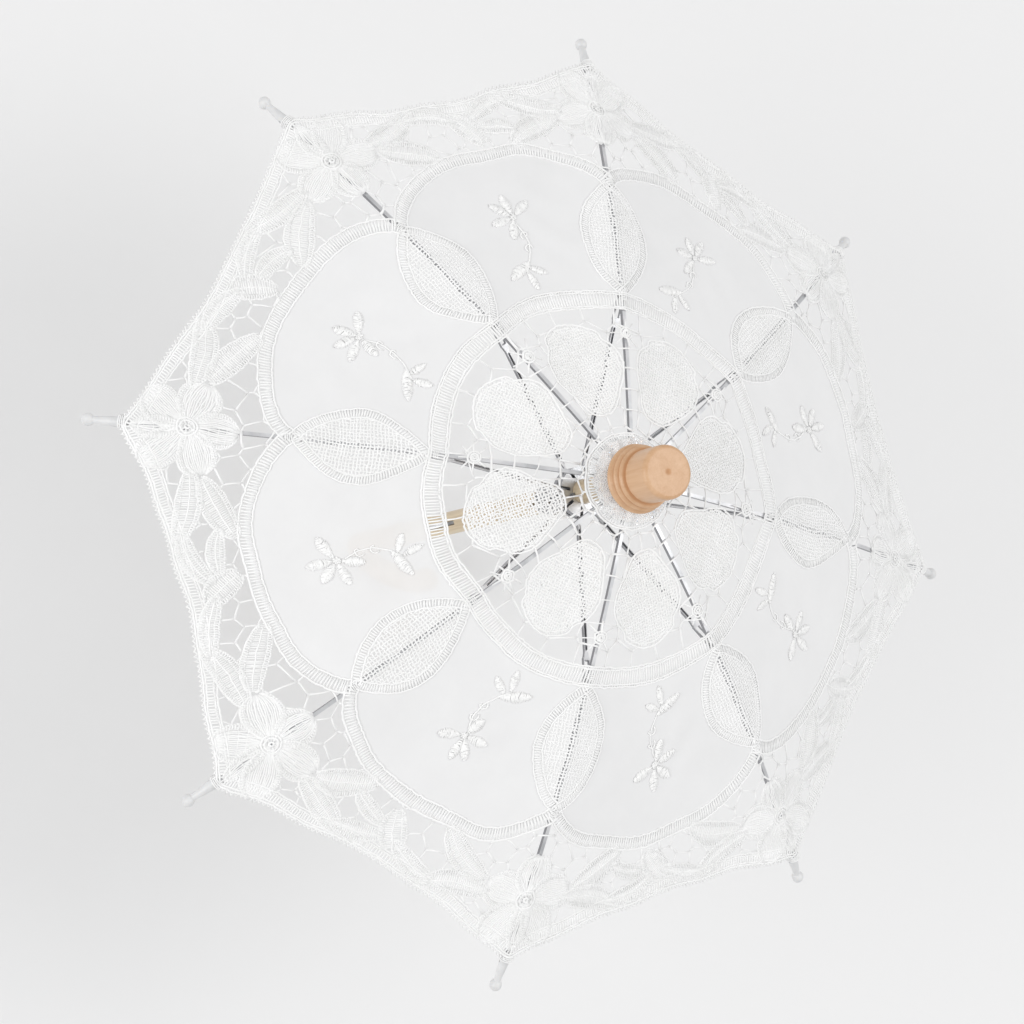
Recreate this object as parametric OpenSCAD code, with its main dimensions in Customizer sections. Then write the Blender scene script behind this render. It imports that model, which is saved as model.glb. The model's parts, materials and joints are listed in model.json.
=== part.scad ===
// Small lace parasol, open: a wooden shaft along Z with a crook handle below,
// eight sprung steel ribs and stretchers, a sliding runner with two catches,
// a lace canopy in eight gores and a turned finial.
// The origin is on the shaft's axis, where the shaft meets the handle.
// Rib 1 points 22.5 degrees round from +X, and the crook bends towards +X.

/* [Canopy frame] */
// Radius of the open parasol, out to the centres of the rib tips
tip_radius = 200; // [190:1:210]
// Height of the rib pivots above the plane of the rib tips
dome_height = 75; // [65:1:85]
// Angle that each rib turns through as it bows from hub to tip
rib_bow = 18; // [14:1:22]
// Radius of the tie wires that the ribs and stretchers pivot on
pivot_radius = 8; // [7.8:0.1:8.4]
// Distance along a rib from its pivot to the stretcher's rivet
rivet_run = 74; // [68:1:76]
// Angle that the ribs fold down through, from open to closed
fold_angle = 67; // [60:1:67]

/* [Ribs and stretchers] */
// Width of a rib's channel
rib_width = 1.5; // [1.5:0.1:2.2]
// Height of a rib's channel
rib_height = 1.8; // [1.8:0.1:2.2]
// Width of a stretcher's channel
stretcher_width = 1.5; // [1.5:0.1:1.8]
// Thickness of the sheet steel
sheet = 0.3; // [0.25:0.05:0.4]
// Radius of the rivets
rivet_radius = 0.4; // [0.35:0.05:0.5]

/* [Shaft and handle] */
// Diameter of the wooden shaft
shaft_diameter = 10; // [9.6:0.1:10]
// Height of the rib tips' plane above the top of the handle
tip_plane_height = 130; // [125:1:150]
// Diameter of the crook handle
handle_diameter = 11; // [10.5:0.1:14]
// Length of the handle's straight part
handle_straight = 45; // [30:1:70]
// Radius that the crook bends round, to its centre line
crook_radius = 17; // [14:1:30]
// Length of the crook's free leg, before its rounded end
crook_leg = 8; // [4:1:20]

/* [Runner and catches] */
// Length of the runner's sleeve below its slotted collar
sleeve_length = 24; // [22:1:26]
// Running clearance between the shaft and the runner
runner_clearance = 0.08; // [0.05:0.01:0.1]
// Reach of a catch's nose from the shaft's axis
nose_reach = 7.2; // [6.8:0.1:7.4]

/* [Canopy] */
// Thickness of the cloth solid
cloth_thickness = 0.5; // [0.4:0.05:0.8]
// How far the hem curves in between two rib tips
hem_curve = 7; // [0:1:12]
// How far the cloth sinks between two ribs
gore_sag = 3; // [0:0.5:5]
// Distance from a rib tip's centre to the hem
hem_setback = 12; // [10:1:12]

/* [Finial] */
// Height of the finial
finial_height = 25; // [24:1:32]
// Radius of the finial's widest ring
finial_radius = 13.9; // [12.5:0.1:14]

/* [Hidden] */
rib_count = 8;
gore = 360 / rib_count;
first_azimuth = gore / 2;
// The catches face the middle of a gore, away from the crook.
catch_azimuth = -3 * gore;
fine = 96;
round_fn = 48;
small_fn = 24;

hub_z = tip_plane_height + dome_height;
shaft_radius = shaft_diameter / 2;
handle_radius = handle_diameter / 2;

// The rib's centre line is an arc. It starts at the pivot, start_slope below the horizontal.
rib_run = tip_radius - pivot_radius;
rib_chord = sqrt(rib_run * rib_run + dome_height * dome_height);
bow_radius = rib_chord / (2 * sin(rib_bow / 2));
start_slope = atan2(dome_height, rib_run) - rib_bow / 2;
function arc_of(run) = run / bow_radius * 180 / PI;
function rib_x(arc) = bow_radius * (sin(start_slope + arc) - sin(start_slope));
function rib_z(arc) = -bow_radius * (cos(start_slope) - cos(start_slope + arc));

// The rivet sits a little under the centre line, so that the fork's ears stay below the cloth.
rivet_drop = 0.5;
rivet_arc = arc_of(rivet_run);
rivet_slope = start_slope + rivet_arc;
rivet_x = rib_x(rivet_arc) - rivet_drop * sin(rivet_slope);
rivet_z = rib_z(rivet_arc) - rivet_drop * cos(rivet_slope);
// The stretcher is as long as the rib's inner arm, so the runner keeps to the shaft's axis.
arm = norm([rivet_x, rivet_z]);
arm_slope = atan2(-rivet_z, rivet_x);
runner_z = hub_z - 2 * arm * sin(arm_slope);
runner_closed_z = hub_z - 2 * arm * sin(arm_slope + fold_angle);

// Tie wires and the eyes that turn on them
wire_radius = 0.4;
eye_bore = 0.5;
eye_radius = 1.4;
blade = 0.8;
blade_length = 8;
channel_start = 6;

// Slotted collars of the crown and the runner
collar_radius = 10.5;
collar_below = 3.5;
crown_above = 1.5;
runner_above = 3.5;
slot_width = 1.3;
slot_floor = 6.2;
groove_floor = 7.5;
groove_height = 1.1;
neck_radius = 6;
neck_length = 6;
press_gap = 0.02;
pin_radius = 0.6;
// Play between the raised runner and the stop pin, and how far the pin shows at each end
stop_pin_gap = 0.4;
stop_pin_show = 1.2;

// Runner sleeve and its window
sleeve_wall = 0.6;
sleeve_bore = shaft_radius + runner_clearance;
rim_radius = sleeve_bore + 1.2;
rim_height = 1.5;
window_low = -20.6;
window_height = 6.6;
window_width = 2.6;
window_mid = window_low + window_height / 2;

// Catch springs: a bent leaf that turns on a pin in the shaft
leaf = 0.7;
leaf_width = 1.4;
catch_eye = 1.1;
catch_pin_radius = 0.5;
catch_pin_length = 9;
nose_height = 18.2;
catch_mid = 17.2;
catch_points = [[0, 0], [2.4, 13], [nose_reach - leaf / 2, nose_height], [3.6, 19.6], [2.4, 21.6]];
catch_slot_width = 2;
catch_slot_floor = -2;
catch_slot_low = -1.8;
catch_slot_high = 24;
top_catch_z = runner_z + window_mid - catch_mid;
hand_catch_z = runner_closed_z + window_mid + catch_mid;

// Stretcher's fork and neck, and the rivet's heads
ear = 0.4;
ear_gap = 0.3;
ear_radius = 1.25;
ear_inner = rib_width / 2 + ear_gap;
ear_outer = ear_inner + ear;
fork_depth = 9;
neck_end = 12.5;
pivot_clearance = 0.05;
head_gap = 0.1;
head_radius = 0.95;
head_thickness = 0.35;

// Rib tips
cap_length = 14;
cap_collar = 2;
cap_radius = 2.2;
cap_neck_radius = 1.5;
cap_neck = 3.2;
ball_radius = 2.6;
pocket_depth = 7;
pocket_gap = 0.1;
sewing_hole = 0.45;
sewing_hole_run = 11;

// Canopy cloth over the ribs
rib_gap = 0.7;
cloth_inner_radius = 6;
hub_rise = 1.4;
hub_spread = 6;
tip_rise = 1.4;
tip_spread = 8;
gore_gap = 0.3;
rings = 16;
strips = 8;
// The rings lie closer together near the hub, where the cloth bends over the crown.
ring_crowding = 1.3;

// Ruffle collar and finial
finial_z = hub_z + 5;
ruffle_radius = 17.5;
ruffle_bore = shaft_radius + 0.2;
tenon_radius = 3.2;
handle_tenon = 18;
finial_tenon = 18;
socket_gap = 0.03;

// ---------- placing ----------

// Children have X outwards along rib k and the origin on the rib's pivot.
module on_rib(k) {
    rotate([0, 0, first_azimuth + gore * (k - 1)])
        translate([pivot_radius, 0, hub_z])
            children();
}

// Children have X along the rib, outwards, and the origin on its centre line.
module along_rib(arc) {
    translate([rib_x(arc), 0, rib_z(arc)])
        rotate([0, start_slope + arc, 0])
            children();
}

// A cylinder along Y, centred on the origin
module cross_cylinder(r, length, fn = small_fn) {
    rotate([90, 0, 0])
        cylinder(r = r, h = length, center = true, $fn = fn);
}

// A block along X from a to b, centred on the X axis
module bar(a, b, width, height) {
    translate([a, -width / 2, -height / 2])
        cube([b - a, width, height]);
}

module torus(ring, wire) {
    rotate_extrude($fn = fine)
        translate([ring, 0])
            circle(r = wire, $fn = small_fn);
}

// ---------- shaft, handle and finial ----------

// The milled slot of a catch. Its pin is at the origin, and its nose is above and outwards.
module catch_slot() {
    translate([catch_slot_floor, -catch_slot_width / 2, catch_slot_low])
        cube([shaft_radius * 2, catch_slot_width, catch_slot_high - catch_slot_low]);
    cross_cylinder(catch_pin_radius + press_gap, catch_pin_length + 2 * press_gap);
}

module at_top_catch() {
    translate([0, 0, top_catch_z])
        rotate([0, 0, catch_azimuth])
            children();
}

// The lower catch is the upper one turned upside down.
module at_hand_catch() {
    translate([0, 0, hand_catch_z])
        rotate([0, 0, catch_azimuth])
            mirror([0, 0, 1])
                children();
}

stop_pin_z = runner_z + runner_above + stop_pin_gap + pin_radius;
stop_pin_length = shaft_diameter + 2 * stop_pin_show;
crown_pin_z = hub_z - collar_below - neck_length / 2;

// A pin across the shaft, along the catches' plane
module cross_pin(z, length, gap = 0) {
    translate([0, 0, z])
        rotate([0, 0, catch_azimuth + 90])
            cross_cylinder(pin_radius + gap, length + 2 * gap);
}

module shaft() {
    color("burlywood")
        difference() {
            union() {
                translate([0, 0, -handle_tenon])
                    cylinder(r = tenon_radius, h = handle_tenon + finial_z + finial_tenon, $fn = round_fn);
                cylinder(r = shaft_radius, h = finial_z, $fn = fine);
            }
            at_top_catch() catch_slot();
            at_hand_catch() catch_slot();
            cross_pin(stop_pin_z, stop_pin_length, press_gap);
            cross_pin(crown_pin_z, 2 * neck_radius, press_gap);
        }
}

module crook_handle() {
    end_x = 2 * crook_radius;
    color("tan")
        difference() {
            union() {
                translate([0, 0, -handle_straight])
                    cylinder(r = handle_radius, h = handle_straight, $fn = round_fn);
                translate([crook_radius, 0, -handle_straight])
                    rotate([-90, 0, 0])
                        rotate_extrude(angle = 180, $fn = fine)
                            translate([crook_radius, 0])
                                circle(r = handle_radius, $fn = round_fn);
                translate([end_x, 0, -handle_straight])
                    rotate_extrude($fn = round_fn)
                        leg_profile();
            }
            translate([0, 0, -handle_tenon - socket_gap])
                cylinder(r = tenon_radius + socket_gap, h = handle_tenon + 1, $fn = round_fn);
        }
}

// Half of the free leg's outline, with its rounded end on top
module leg_profile() {
    end = [for (a = [0 : 10 : 80]) [handle_radius * cos(a), crook_leg + handle_radius * sin(a)]];
    polygon(concat([[0, 0], [handle_radius, 0]], end, [[0, crook_leg + handle_radius]]));
}

// Points of a bead's outline: from height low to height high, bulging from radius r by bulge
function bead(r, bulge, low, high) =
    [for (t = [0 : 0.125 : 1]) [r + bulge * sin(180 * t), low + (high - low) * t]];

module finial() {
    groove = finial_radius * 0.87;
    nose_radius = finial_radius * 0.78;
    nose_start = 10.6;
    edge = 1.8;
    dimple_radius = 1.3;
    dimple_depth = 0.5;
    corner_middle = [nose_radius - edge, finial_height - edge];
    corner = [for (a = [0 : 15 : 90]) corner_middle + edge * [cos(a), sin(a)]];
    outline = concat(
        [[0, 0]],
        bead(groove, finial_radius - groove, 0, 3.7),
        bead(groove - 0.3, 1.4, 3.9, 6.8),
        bead(groove - 0.7, 1, 7, 9.4),
        [[nose_radius - 0.5, 9.8], [nose_radius - 0.1, nose_start]],
        corner,
        [[dimple_radius, finial_height], [0, finial_height - dimple_depth]]
    );
    color("burlywood")
        translate([0, 0, finial_z])
            difference() {
                rotate_extrude($fn = fine)
                    polygon(outline);
                translate([0, 0, -1])
                    cylinder(r = tenon_radius + socket_gap, h = 1 + finial_tenon + socket_gap, $fn = fine);
            }
}

// Gathered collar between the canopy's top and the finial
module ruffle_collar() {
    color("white")
        translate([0, 0, finial_z])
            rotate_extrude($fn = fine)
                polygon([
                    [ruffle_bore, -1.1],
                    [11, -1.4],
                    [ruffle_radius, -3.4],
                    [ruffle_radius, -2.4],
                    [finial_radius, -0.2],
                    [11, 0],
                    [ruffle_bore, 0]
                ]);
}

// ---------- crown and runner ----------

// Slots for the eyes and the groove that holds the tie wire, cut from a collar around the origin
module collar_cuts(low, high) {
    for (k = [1 : rib_count])
        rotate([0, 0, first_azimuth + gore * (k - 1)])
            translate([slot_floor, -slot_width / 2, low - 1])
                cube([collar_radius, slot_width, high - low + 2]);
    difference() {
        translate([0, 0, -groove_height / 2])
            cylinder(r = collar_radius + 1, h = groove_height, $fn = fine);
        cylinder(r = groove_floor, h = 2 * groove_height, center = true, $fn = fine);
    }
}

module crown() {
    color("silver")
        translate([0, 0, hub_z])
            difference() {
                union() {
                    translate([0, 0, -collar_below])
                        cylinder(r = collar_radius, h = collar_below + crown_above, $fn = fine);
                    translate([0, 0, -collar_below - neck_length])
                        cylinder(r = neck_radius, h = neck_length + 1, $fn = round_fn);
                }
                collar_cuts(-collar_below, crown_above);
                cylinder(r = shaft_radius + press_gap, h = 4 * neck_length, center = true, $fn = fine);
                translate([0, 0, -hub_z])
                    cross_pin(crown_pin_z, 3 * neck_radius, press_gap);
            }
}

module crown_tie_wire() {
    color("dimgray")
        translate([0, 0, hub_z])
            torus(pivot_radius, wire_radius);
}

module crown_pin() {
    color("gray")
        cross_pin(crown_pin_z, 2 * neck_radius);
}

module stop_pin() {
    color("gray")
        cross_pin(stop_pin_z, stop_pin_length);
}

module runner() {
    bottom = -collar_below - sleeve_length;
    color("silver")
        translate([0, 0, runner_z])
            difference() {
                union() {
                    translate([0, 0, -collar_below])
                        cylinder(r = collar_radius, h = collar_below + runner_above, $fn = fine);
                    translate([0, 0, bottom])
                        cylinder(r = sleeve_bore + sleeve_wall, h = sleeve_length + 1, $fn = round_fn);
                    translate([0, 0, bottom])
                        cylinder(r = rim_radius, h = rim_height, $fn = round_fn);
                }
                collar_cuts(-collar_below, runner_above);
                cylinder(r = sleeve_bore, h = 4 * sleeve_length, center = true, $fn = fine);
                rotate([0, 0, catch_azimuth])
                    translate([0, -window_width / 2, window_low])
                        cube([collar_radius, window_width, window_height]);
            }
}

module runner_tie_wire() {
    color("dimgray")
        translate([0, 0, runner_z])
            torus(pivot_radius, wire_radius);
}

// ---------- catches ----------

// One straight stretch of the bent leaf, from p to q in the XZ plane
module leaf_stretch(p, q) {
    run = q - p;
    translate([p[0], 0, p[1]])
        rotate([0, -atan2(run[1], run[0]), 0]) {
            bar(0, norm(run), leaf_width, leaf);
            translate([norm(run), 0, 0])
                cross_cylinder(leaf / 2, leaf_width);
        }
}

module catch_spring() {
    difference() {
        union() {
            cross_cylinder(catch_eye, leaf_width);
            for (i = [0 : len(catch_points) - 2])
                leaf_stretch(catch_points[i], catch_points[i + 1]);
        }
        cross_cylinder(catch_pin_radius + pivot_clearance, 2 * leaf_width);
    }
}

module top_catch_spring() {
    color("gray")
        at_top_catch() catch_spring();
}

module hand_catch_spring() {
    color("gray")
        at_hand_catch() catch_spring();
}

module catch_pins() {
    color("gray") {
        at_top_catch() cross_cylinder(catch_pin_radius, catch_pin_length);
        at_hand_catch() cross_cylinder(catch_pin_radius, catch_pin_length);
    }
}

// ---------- ribs ----------

// U channel's section, with its open side towards -X
module channel_section(width, height) {
    w = width / 2;
    h = height / 2;
    polygon([
        [-h, -w], [h, -w], [h, w], [-h, w],
        [-h, w - sheet], [h - sheet, w - sheet], [h - sheet, sheet - w], [-h, sheet - w]
    ]);
}

module rib(k) {
    first = arc_of(channel_start);
    last = rib_bow - arc_of(cap_length - pocket_depth);
    color("lightgray")
        on_rib(k)
            difference() {
                union() {
                    translate([-bow_radius * sin(start_slope), 0, -bow_radius * cos(start_slope)])
                        rotate([90, 0, 0])
                            rotate([0, 0, 90 - start_slope - last])
                                rotate_extrude(angle = last - first, $fn = 8 * fine)
                                    translate([bow_radius, 0])
                                        channel_section(rib_width, rib_height);
                    rotate([0, start_slope, 0]) {
                        cross_cylinder(eye_radius, blade);
                        bar(0, blade_length, blade, rib_height - sheet);
                    }
                }
                cross_cylinder(eye_bore, 2 * blade);
                translate([rivet_x, 0, rivet_z])
                    cross_cylinder(rivet_radius + press_gap, 2 * rib_width);
            }
}

module rib_rivet(k) {
    shank = 2 * (ear_outer + head_gap + head_thickness);
    head_y = ear_outer + head_gap + head_thickness / 2;
    color("gray")
        on_rib(k)
            translate([rivet_x, 0, rivet_z]) {
                cross_cylinder(rivet_radius, shank);
                for (side = [-1, 1])
                    translate([0, side * head_y, 0])
                        cross_cylinder(head_radius, head_thickness);
            }
}

// Half of a rib tip's outline: X is the radius and Y runs outwards, with the ball's centre at 0
module tip_profile() {
    neck_angle = asin(cap_neck_radius / ball_radius);
    ball = [for (a = [180 - neck_angle : -neck_angle / 3 : 1]) ball_radius * [sin(a), cos(a)]];
    polygon(concat(
        [[0, -cap_length], [cap_radius, -cap_length], [cap_radius, -cap_length + cap_collar],
         [cap_neck_radius, -cap_neck]],
        ball,
        [[0, ball_radius]]
    ));
}

module rib_tip(k) {
    color("whitesmoke")
        on_rib(k)
            along_rib(rib_bow)
                difference() {
                    rotate([0, 90, 0])
                        rotate_extrude($fn = round_fn)
                            tip_profile();
                    bar(-cap_length - 1, pocket_depth - cap_length, rib_width + 2 * pocket_gap,
                        rib_height + 2 * pocket_gap);
                    translate([-sewing_hole_run, 0, 0])
                        cross_cylinder(sewing_hole, 4 * cap_radius);
                }
}

// ---------- stretchers ----------

// The stretcher's own X runs from the rivet to the runner, and its channel opens upwards.
module stretcher(k) {
    h = stretcher_width;
    color("lightgray")
        on_rib(k)
            translate([rivet_x, 0, rivet_z])
                rotate([0, 180 - arm_slope, 0])
                    difference() {
                        union() {
                            for (side = [-1, 1])
                                translate([0, side * (ear_inner + ear / 2), 0]) {
                                    cross_cylinder(ear_radius, ear);
                                    bar(0, fork_depth + 1, ear, h);
                                }
                            translate([0, 0, -h / 2])
                                linear_extrude(height = h)
                                    polygon([
                                        [fork_depth, -ear_outer], [fork_depth, ear_outer],
                                        [neck_end, h / 2], [neck_end, -h / 2]
                                    ]);
                            stretcher_channel(neck_end - 0.5, arm - channel_start);
                            bar(arm - blade_length, arm, blade, h - sheet);
                            translate([arm, 0, 0])
                                cross_cylinder(eye_radius, blade);
                        }
                        cross_cylinder(rivet_radius + pivot_clearance, 4 * ear_outer);
                        translate([arm, 0, 0])
                            cross_cylinder(eye_bore, 2 * blade);
                    }
}

module stretcher_channel(a, b) {
    h = stretcher_width;
    difference() {
        bar(a, b, h, h);
        translate([0, 0, -sheet])
            bar(a + 1, b + 1, h - 2 * sheet, h);
    }
}

// ---------- canopy ----------

// Height of the cloth's underside above the rib's centre line, at radius r from the shaft
hem_radius = pivot_radius + rib_x(rib_bow - arc_of(hem_setback));
function bump(r, middle, spread) = exp(-pow((r - middle) / spread, 2));
function cover(r) =
    rib_height / 2 + rib_gap + hub_rise * bump(r, collar_radius, hub_spread)
    + tip_rise * bump(r, hem_radius, tip_spread);

// Arc position along the rib of ring i, for a strip at share u of the way to the middle of the gore
function hem_arc(u) = rib_bow - arc_of(hem_setback + hem_curve * (1 - pow(1 - u, 2)));
inner_arc = arc_of(cloth_inner_radius - pivot_radius);
function ring_share(i) = pow(i / rings, ring_crowding);
function ring_arc(i, u) = inner_arc + (hem_arc(u) - inner_arc) * ring_share(i);

// A point of the cloth: share u is -1 and 1 at the gore's middles and 0 on the rib.
function cloth_point(i, u, up) =
    let (
        share = abs(u),
        arc = ring_arc(i, share),
        along = pivot_radius + rib_x(arc),
        offset = gore / 2 * share,
        r = along * cos(gore / 2) / cos(gore / 2 - offset),
        turn = sign(u) * (offset - share * gore_gap / 2 / r * 180 / PI),
        dip = gore_sag * sin(180 * ring_share(i)) * (1 - pow(1 - share, 2))
    )
    [r * cos(turn), r * sin(turn), hub_z + rib_z(arc) + cover(along) - dip + up];

module canopy(k) {
    row = strips + 1;
    sheet_size = row * (rings + 1);
    points = [
        for (up = [0, cloth_thickness])
            for (i = [0 : rings])
                for (j = [0 : strips])
                    cloth_point(i, 2 * j / strips - 1, up)
    ];
    under = [
        for (i = [0 : rings - 1])
            for (j = [0 : strips - 1])
                let (p = i * row + j)
                each [[p, p + row, p + row + 1], [p, p + row + 1, p + 1]]
    ];
    over = [for (f = under) [f[0] + sheet_size, f[2] + sheet_size, f[1] + sheet_size]];
    inner = [for (j = [0 : strips - 1]) each edge_faces(j, j + 1, sheet_size)];
    hem_start = rings * row;
    hem = [for (j = [0 : strips - 1]) each edge_faces(hem_start + j + 1, hem_start + j, sheet_size)];
    left = [for (i = [0 : rings - 1]) each edge_faces((i + 1) * row, i * row, sheet_size)];
    right = [
        for (i = [0 : rings - 1])
            each edge_faces(i * row + strips, (i + 1) * row + strips, sheet_size)
    ];
    color("white")
        rotate([0, 0, first_azimuth + gore * (k - 1)])
            polyhedron(points = points, faces = concat(under, over, inner, hem, left, right));
}

// Two triangles that close the cloth's edge from point a to point b
function edge_faces(a, b, lift) = [[a, b, b + lift], [a, b + lift, a + lift]];

// ---------- nodes ----------

shaft();
crook_handle();
finial();
ruffle_collar();
crown();
crown_tie_wire();
crown_pin();
stop_pin();
catch_pins();
runner();
runner_tie_wire();
top_catch_spring();
hand_catch_spring();
for (k = [1 : rib_count]) {
    rib(k);
    rib_rivet(k);
    rib_tip(k);
    stretcher(k);
    canopy(k);
}
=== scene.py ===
import json
import math
import random

import bpy
import numpy as np
from mathutils import Matrix, Vector
from mathutils.geometry import delaunay_2d_cdt


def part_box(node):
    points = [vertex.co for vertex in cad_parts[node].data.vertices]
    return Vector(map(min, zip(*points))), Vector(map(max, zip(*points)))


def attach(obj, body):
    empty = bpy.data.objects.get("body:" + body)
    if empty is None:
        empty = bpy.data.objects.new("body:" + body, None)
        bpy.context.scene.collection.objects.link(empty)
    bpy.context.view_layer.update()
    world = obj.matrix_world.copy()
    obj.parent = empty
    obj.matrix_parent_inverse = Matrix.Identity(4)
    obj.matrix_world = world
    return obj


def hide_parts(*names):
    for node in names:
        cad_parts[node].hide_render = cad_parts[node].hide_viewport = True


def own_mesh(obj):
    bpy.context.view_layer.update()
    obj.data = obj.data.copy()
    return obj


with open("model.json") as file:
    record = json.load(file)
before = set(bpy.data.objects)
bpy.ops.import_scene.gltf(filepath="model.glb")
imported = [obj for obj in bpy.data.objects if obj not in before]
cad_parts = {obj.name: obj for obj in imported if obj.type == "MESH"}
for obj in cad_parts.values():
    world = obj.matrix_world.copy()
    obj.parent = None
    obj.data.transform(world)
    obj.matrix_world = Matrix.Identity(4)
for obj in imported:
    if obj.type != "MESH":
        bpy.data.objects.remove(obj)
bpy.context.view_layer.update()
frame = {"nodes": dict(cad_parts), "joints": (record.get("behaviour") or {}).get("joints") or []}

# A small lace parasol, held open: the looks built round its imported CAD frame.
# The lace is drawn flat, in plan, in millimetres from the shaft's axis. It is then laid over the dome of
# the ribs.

MM = 0.001
TURN = 2 * math.pi

# ---------- the frame's measures, in millimetres and radians, as the CAD model has them ----------

FOLD = next(joint for joint in frame["joints"] if joint["name"] == "fold")
HUB_Z = FOLD["pos_m"][2] / MM
PIVOT_RADIUS = math.hypot(FOLD["pos_m"][0], FOLD["pos_m"][1]) / MM
RIBS = 8
GORE = TURN / RIBS
HALF = GORE / 2
TIP_RADIUS = 200
DOME_HEIGHT = 75
RIB_BOW = math.radians(18)
RIB_RUN = TIP_RADIUS - PIVOT_RADIUS
BOW_RADIUS = math.hypot(RIB_RUN, DOME_HEIGHT) / (2 * math.sin(RIB_BOW / 2))
CHORD_SLOPE = math.atan2(DOME_HEIGHT, RIB_RUN)
START_SLOPE = CHORD_SLOPE - RIB_BOW / 2
COVER = 1.6
HUB_RISE, HUB_REACH, HUB_SPREAD = 1.4, 10.5, 6
TIP_RISE, TIP_SPREAD = 1.4, 8
HEM_SETBACK, HEM_CURVE = 12, 7
GORE_SAG = 3
INNER_RADIUS = 6
RUFFLE_RADIUS = 17.5
FINIAL_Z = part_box("finial")[0].z / MM
FLOOR_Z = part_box("crook_handle")[0].z


def rib_along(arc):
    """Distance from the shaft of the point at an arc position along a rib."""
    return PIVOT_RADIUS + BOW_RADIUS * (np.sin(START_SLOPE + arc) - math.sin(START_SLOPE))


def rib_arc(along):
    return np.arcsin(math.sin(START_SLOPE) + (along - PIVOT_RADIUS) / BOW_RADIUS) - START_SLOPE


def rib_drop(arc):
    return BOW_RADIUS * (math.cos(START_SLOPE) - np.cos(START_SLOPE + arc))


def hem_arc(share):
    """Arc position of the hem, at a share of the way from a rib to the middle of a gore."""
    return RIB_BOW - (HEM_SETBACK + HEM_CURVE * (1 - (1 - share) ** 2)) / BOW_RADIUS


HEM_ON_RIB = float(rib_along(RIB_BOW - HEM_SETBACK / BOW_RADIUS))


def from_rib(azimuth):
    """Angle from the nearest rib, from -HALF to HALF."""
    return (azimuth + TURN) % GORE - HALF


def from_gore(azimuth):
    """Angle from the middle of the nearest gore, from -HALF to HALF."""
    return (azimuth + TURN + HALF) % GORE - HALF


def hem_radius(azimuth):
    """Plan radius of the hem."""
    off = np.abs(from_rib(azimuth))
    return rib_along(hem_arc(off / HALF)) * math.cos(HALF) / np.cos(HALF - off)


def cloth_height(x, y):
    """Height of the cloth's underside at a plan point."""
    off = np.abs(from_rib(np.arctan2(y, x)))
    along = np.hypot(x, y) * np.cos(HALF - off) / math.cos(HALF)
    share = off / HALF
    arc = rib_arc(along)
    inner = (INNER_RADIUS - PIVOT_RADIUS) / BOW_RADIUS
    down = np.clip((arc - inner) / (hem_arc(share) - inner), 0, 1)
    hub = HUB_RISE * np.exp(-(((along - HUB_REACH) / HUB_SPREAD) ** 2))
    tip = TIP_RISE * np.exp(-(((along - HEM_ON_RIB) / TIP_SPREAD) ** 2))
    dip = GORE_SAG * np.sin(math.pi * down) * (1 - (1 - share) ** 2)
    return HUB_Z - rib_drop(arc) + COVER + hub + tip - dip


def rib_azimuth(k):
    return HALF + GORE * (k - 1)


def turned(path, angle):
    """Plan points turned about the shaft."""
    path = np.asarray(path, float)
    c, s = math.cos(angle), math.sin(angle)
    return np.stack([path[:, 0] * c - path[:, 1] * s, path[:, 0] * s + path[:, 1] * c], 1)


def polar(radius, angle):
    return np.stack([radius * np.cos(angle), radius * np.sin(angle)], -1)


def round_angles(count):
    """The angles of points spaced evenly round a circle."""
    return np.linspace(0, TURN, count, endpoint=False)


def walls_between(leading, following):
    """Quads between rings of point numbers, which run round their last axis."""
    return np.stack([leading, np.roll(leading, -1, -1), np.roll(following, -1, -1), following], -1)


# ---------- materials ----------


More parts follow.
